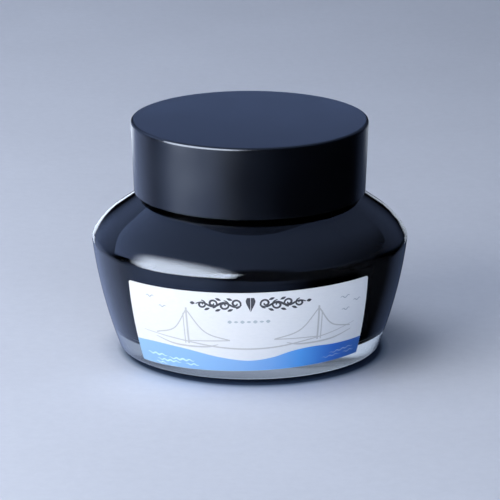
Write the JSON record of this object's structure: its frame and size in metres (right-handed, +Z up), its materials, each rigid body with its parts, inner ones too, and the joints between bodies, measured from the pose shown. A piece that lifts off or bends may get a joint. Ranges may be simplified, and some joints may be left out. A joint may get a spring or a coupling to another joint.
{
  "type": "ink bottle",
  "caption": "Wide, squat glass ink jar with a leaning side, sloping shoulder, blue-black ink, a smooth black screw cap and a wrapped front label with a blue wave band.",
  "frame": {"origin": "centre of the base, on the plane that the foot ring stands on", "axes": "+Z up along the bottle's axis, -Y towards the middle of the front label, +X to the right of someone who faces the label"},
  "size_m": [0.066, 0.066, 0.0492],
  "materials": {
    "clear_glass": "clear, fire polished",
    "blue_black_ink": "opaque liquid with a still, glossy surface",
    "natural_plastic": "milky, half clear moulding",
    "label_paper": "coated label paper with a satin face",
    "gloss_black_plastic": "smooth, glossy moulding",
    "black_plastic": "as moulded",
    "liner_foam": "dense foam with a film face"
  },
  "bodies": {
    "bottle": {"glass_bottle": "clear_glass", "ink": "blue_black_ink", "ink_reservoir": "natural_plastic", "front_label": "label_paper"},
    "liner": {"cap_liner": "liner_foam"},
    "cap": {"cap_shell": "gloss_black_plastic", "cap_inner": "black_plastic"}
  },
  "joints": [
    {"name": "cap_lift", "type": "slide", "parent": "bottle", "child": "liner", "axis": [0, 0, 1], "range_m": [0, 0.01694]},
    {"name": "cap_turn", "type": "hinge", "parent": "liner", "child": "cap", "pos_m": [0, 0, 0.04], "axis": [0, 0, 1], "range_deg": [0, 1440]}
  ],
  "couplings": [
    {"joint": "cap_lift", "follows": "cap_turn", "m_per_rad": 0.00067376}
  ]
}
